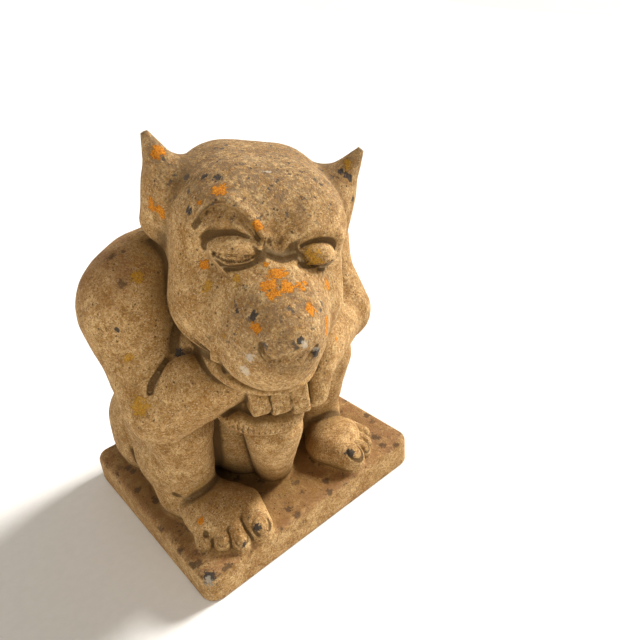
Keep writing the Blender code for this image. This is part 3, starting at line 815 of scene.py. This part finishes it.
weather = {
    # Painted shade in the tight creases.
    "tight_crease_shade": tight,
    # Painted shade, with some dirt, in the hollows.
    "hollow_shade_and_dirt": softened(np.maximum(wide, 0.6 * broad)),
    "worn_edge": softened(edge, 3),
    "grime": grime,
    "rust": rust,
    # Painted shade low down between the parts and in the hollows, darker towards the bottom.
    "low_hollow_shade": np.clip(0.8 * low_darkening * broad + 0.5 * wide, 0.0, 1.0),
    "orange": spotted(ORANGE),
    "yellow": spotted(YELLOW),
    "chalky": spotted(CHALKY),
    "sooty": spotted(SOOTY),
}
for name, values in weather.items():
    gargoyle.data.attributes.new(name, "FLOAT", "POINT").data.foreach_set("value", values.astype(np.float32))
print("lichen spots", len(ORANGE) + len(YELLOW) + len(CHALKY) + len(SOOTY), "numbers a point", len(weather))

# %% [markdown]
# ## The stone's nodes
#
# Buff cast stone is sand and cement: grains of several colours, tiny air holes, and soft blotches. The material
# is built from a few small helpers, so that each layer reads as one line: where it is, then what colour it is.

# %% Node helpers
stone = bpy.data.materials.new("buff_cast_stone")
stone.use_nodes = True
tree = stone.node_tree
shader = tree.nodes["Principled BSDF"]


def add(kind, sockets, **settings):
    """Adds a node, sets its properties, and fills or links its sockets."""
    made = tree.nodes.new("ShaderNode" + kind)
    for name, value in settings.items():
        setattr(made, name, value)
    for name, value in sockets.items():
        if isinstance(value, bpy.types.NodeSocket):
            tree.links.new(value, made.inputs[name])
        else:
            made.inputs[name].default_value = value
    return made


place_on = tree.nodes.new("ShaderNodeTexCoord").outputs["Object"]


def clouds(scale, detail=4.0, rough=0.6):
    made = add("TexNoise", {"Vector": place_on, "Scale": scale, "Detail": detail, "Roughness": rough})
    return made.outputs["Fac"]


def cells(scale, output="Distance", vector=place_on):
    return add("TexVoronoi", {"Vector": vector, "Scale": scale, "Randomness": 1.0}).outputs[output]


def reached(value, low, high, start=0.0, end=1.0):
    """Start below low, end above high, and a straight line between."""
    made = add("MapRange", {"Value": value, "From Min": low, "From Max": high, "To Min": start, "To Max": end})
    return made.outputs["Result"]


def maths(operation, a, b):
    made = add("Math", {0: a, 1: b}, operation=operation)
    return made.outputs["Value"]


def painted(under, factor, colour, way="MIX"):
    """One colour laid over another by a factor."""
    made = add("Mix", {0: factor, 6: under, 7: colour}, data_type="RGBA", blend_type=way)
    return made.outputs[2]


def of_point(name):
    return add("Attribute", {}, attribute_name=name).outputs["Fac"]


print("helpers ready for", stone.name)

# %% Sand and cement
blotch = clouds(14.0, 5.0)
mottle = clouds(60.0, 6.0, 0.68)
sand = clouds(330.0, 4.0, 0.7)
grit = clouds(900.0, 2.0, 0.6)
colour = painted((0.375, 0.215, 0.070, 1.0), reached(mottle, 0.38, 0.62), (0.66, 0.455, 0.210, 1.0))
colour = painted(colour, reached(blotch, 0.5, 0.68, 0.0, 0.55), (0.385, 0.210, 0.060, 1.0))
colour = painted(colour, reached(sand, 0.41, 0.60, 0.0, 0.85), (0.62, 0.46, 0.30, 1.0), "MULTIPLY")
stain = reached(clouds(105.0, 6.0, 0.75), 0.50, 0.66)
colour = painted(colour, maths("MULTIPLY", stain, 0.45), (0.27, 0.150, 0.055, 1.0))
grain_colour = cells(900.0, "Color")
grain = add("SeparateColor", {"Color": grain_colour}).outputs["Red"]
colour = painted(colour, reached(grain, 0.82, 0.88, 0.0, 0.70), (0.16, 0.09, 0.04, 1.0))
colour = painted(colour, reached(grain, 0.10, 0.06, 0.0, 0.40), (0.76, 0.58, 0.34, 1.0))
print("sand layers made")

# %% Wear, creases and stains
# Painted shade in the tight creases.
crease = reached(maths("ADD", of_point("tight_crease_shade"), maths("MULTIPLY", mottle, 0.4)), 0.30, 0.95)
# Painted shade, with some dirt, in the hollows.
painted_hollow_shade_and_dirt = reached(maths("ADD", of_point("hollow_shade_and_dirt"), maths("MULTIPLY", mottle, 0.5)), 0.42, 1.2)
rub = reached(maths("ADD", of_point("worn_edge"), maths("MULTIPLY", sand, 0.5)), 0.6, 1.2, 0.0, 0.45)
soot = maths("MULTIPLY", of_point("grime"), reached(clouds(190.0, 6.0, 0.8), 0.42, 0.56))
rust_cloud = maths("MULTIPLY", of_point("rust"), reached(clouds(48.0, 5.0, 0.7), 0.34, 0.58))
# Painted shade low down and in the hollows, darker towards the bottom.
colour = painted(colour, maths("MULTIPLY", of_point("low_hollow_shade"), 0.55), (0.27, 0.165, 0.045, 1.0))
colour = painted(colour, maths("MULTIPLY", rust_cloud, 0.80), (0.24, 0.112, 0.045, 1.0))
colour = painted(colour, maths("MULTIPLY", soot, 0.78), (0.17, 0.115, 0.068, 1.0))
# Painted shade, with some dirt, in the hollows.
colour = painted(colour, maths("MULTIPLY", painted_hollow_shade_and_dirt, 0.60), (0.20, 0.100, 0.020, 1.0))
# Painted shade in the tight creases, nearly black.
colour = painted(colour, maths("MULTIPLY", crease, 0.88), (0.085, 0.044, 0.012, 1.0))
colour = painted(colour, rub, (0.68, 0.50, 0.27, 1.0))
print("wear layers made")

# %% Specks and air holes
hole = cells(150.0)
hole_here = reached(cells(150.0, "Color"), 0.62, 0.66)
pits = maths("MULTIPLY", reached(hole, 0.20, 0.12), hole_here)
tatter = add("TexNoise", {"Vector": place_on, "Scale": 240.0}).outputs["Color"]
ragged = add("Mix", {0: 0.012, 4: place_on, 5: tatter}, data_type="VECTOR").outputs[1]
fleck_here = reached(cells(100.0, "Color", ragged), 0.46, 0.52)
fleck = maths("MULTIPLY", reached(cells(100.0, vector=ragged), 0.30, 0.20), fleck_here)
fleck = maths("MULTIPLY", fleck, reached(of_point("grime"), 0.1, 0.55, 0.12, 0.85))
spot_here = reached(cells(60.0, "Color", ragged), 0.42, 0.5)
spots = maths("MULTIPLY", reached(cells(60.0, vector=ragged), 0.42, 0.26), spot_here)
spots = maths("MULTIPLY", spots, reached(of_point("rust"), 0.15, 0.6, 0.0, 0.8))
# The air holes are painted dark: painted shade inside them.
colour = painted(colour, maths("MULTIPLY", pits, 0.8), (0.07, 0.04, 0.016, 1.0))
colour = painted(colour, fleck, (0.085, 0.068, 0.055, 1.0))
colour = painted(colour, spots, (0.075, 0.042, 0.02, 1.0))
print("specks and holes made")

# %% Lichen crusts
lobes = maths("SUBTRACT", maths("ADD", clouds(150.0, 4.0, 0.7), maths("MULTIPLY", clouds(420.0, 3.0), 0.35)), 0.67)
crust_grain = clouds(700.0, 3.0, 0.7)


def crust(name, low, high):
    """Where a kind of lichen grows, with its edge broken into lobes."""
    return reached(maths("ADD", of_point(name), maths("MULTIPLY", lobes, 1.5)), low, high)


sooty = crust("sooty", 0.50, 0.60)
chalky = crust("chalky", 0.50, 0.70)
yellow = crust("yellow", 0.52, 0.66)
orange = crust("orange", 0.50, 0.56)
orange_colour = painted((0.40, 0.100, 0.003, 1.0), reached(crust_grain, 0.38, 0.62), (0.76, 0.30, 0.010, 1.0))
yellow_colour = painted((0.30, 0.135, 0.006, 1.0), reached(crust_grain, 0.4, 0.62), (0.60, 0.31, 0.018, 1.0))
colour = painted(colour, maths("MULTIPLY", sooty, 0.94), (0.044, 0.038, 0.034, 1.0))
colour = painted(colour, maths("MULTIPLY", chalky, 0.55), (0.64, 0.57, 0.45, 1.0))
colour = painted(colour, maths("MULTIPLY", yellow, 0.75), yellow_colour)
colour = painted(colour, maths("MULTIPLY", orange, 0.94), orange_colour)
tree.links.new(colour, shader.inputs["Base Color"])
print("lichen layers made")

# %% Roughness and bump
matt = reached(sand, 0.3, 0.7, 0.84, 0.97)
tree.links.new(matt, shader.inputs["Roughness"])
shader.inputs["Metallic"].default_value = 0.0
shader.inputs["Specular IOR Level"].default_value = 0.25


def raised(height, depth, strength, under=None):
    """A bump layer, its depth in metres."""
    sockets = {"Height": height, "Distance": depth, "Strength": strength}
    if under is not None:
        sockets["Normal"] = under
    return add("Bump", sockets).outputs["Normal"]


normal = raised(mottle, 0.0024, 0.6)
normal = raised(sand, 0.0018, 0.8, normal)
normal = raised(grit, 0.0007, 0.7, normal)
normal = raised(maths("MULTIPLY", maths("ADD", pits, fleck), -1.0), 0.0010, 0.9, normal)
crusts = maths("MULTIPLY", maths("ADD", orange, maths("MULTIPLY", yellow, 0.5)), maths("ADD", crust_grain, 0.8))
normal = raised(crusts, 0.0012, 0.9, normal)
tree.links.new(normal, shader.inputs["Normal"])
print("stone material has", len(tree.nodes), "nodes")

# %% Stone on the figure
gargoyle.data.materials.clear()
gargoyle.data.materials.append(stone)
gargoyle.data.polygons.foreach_set("material_index", np.zeros(len(gargoyle.data.polygons), np.int32))
gargoyle.data.shade_smooth()
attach(gargoyle, "root")
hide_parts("gargoyle")
print("figure ready:", gargoyle.name, [round(v, 4) for v in gargoyle.dimensions])

# %% [markdown]
# ## The floor
#
# The figure stands on a plain pale floor. Its far parts rise very gently, as a studio's sweep does, so that no
# horizon shows. It gets a fine tooth, so that the soft shadow has something to lie on.

# %% Floor
floor_mesh = bmesh.new()
bmesh.ops.create_grid(floor_mesh, x_segments=80, y_segments=80, size=60.0)
for vert in floor_mesh.verts:
    far = max(0.0, vert.co.length - 8.0)
    vert.co.z = 0.5 * far * far / (far + 6.0)
floor_data = bpy.data.meshes.new("floor")
floor_mesh.to_mesh(floor_data)
floor_mesh.free()
floor = bpy.data.objects.new("floor", floor_data)
bpy.context.scene.collection.objects.link(floor)
pale = bpy.data.materials.new("pale_floor")
pale.use_nodes = True
tree = pale.node_tree
shader = tree.nodes["Principled BSDF"]
place_on = tree.nodes.new("ShaderNodeTexCoord").outputs["Object"]
tooth = clouds(90.0, 3.0)
pale_colour = painted((0.86, 0.855, 0.845, 1.0), reached(tooth, 0.4, 0.6), (0.88, 0.875, 0.865, 1.0))
tree.links.new(pale_colour, shader.inputs["Base Color"])
tree.links.new(reached(tooth, 0.3, 0.7, 0.85, 0.95), shader.inputs["Roughness"])
tree.links.new(raised(tooth, 0.0003, 0.2), shader.inputs["Normal"])
floor.data.materials.append(pale)
print("floor is", floor.dimensions.x, "m across")

# %% [markdown]
# ## Soft light from the viewer's right
#
# The photograph's light is warm and comes from the right: the muzzle's flank and the left elbow are bright,
# and the right cheek and the recess behind the column are brown. A wide, soft sun does that, with a weak one from
# above and an even pale world as its fill.

# %% Light
world = bpy.data.worlds.new("studio")
world.use_nodes = True
world.node_tree.nodes["Background"].inputs["Color"].default_value = (1.0, 0.91, 0.78, 1.0)
world.node_tree.nodes["Background"].inputs["Strength"].default_value = 0.21
bpy.context.scene.world = world


def sun(name, place, power, softness, colour):
    light = bpy.data.lights.new(name, "SUN")
    light.energy, light.angle, light.color = power, math.radians(softness), colour
    holder = bpy.data.objects.new(name, light)
    holder.location = place
    holder.rotation_euler = (Vector((0.0, -0.03, 0.28)) - Vector(place)).to_track_quat("-Z", "Y").to_euler()
    bpy.context.scene.collection.objects.link(holder)


sun("key", (1.70, -0.24, 1.45), 5.8, 16.0, (1.0, 0.975, 0.935))
sun("top", (-0.4, -0.7, 2.2), 0.55, 40.0, (1.0, 0.93, 0.82))
bpy.context.scene.view_settings.view_transform = "Standard"
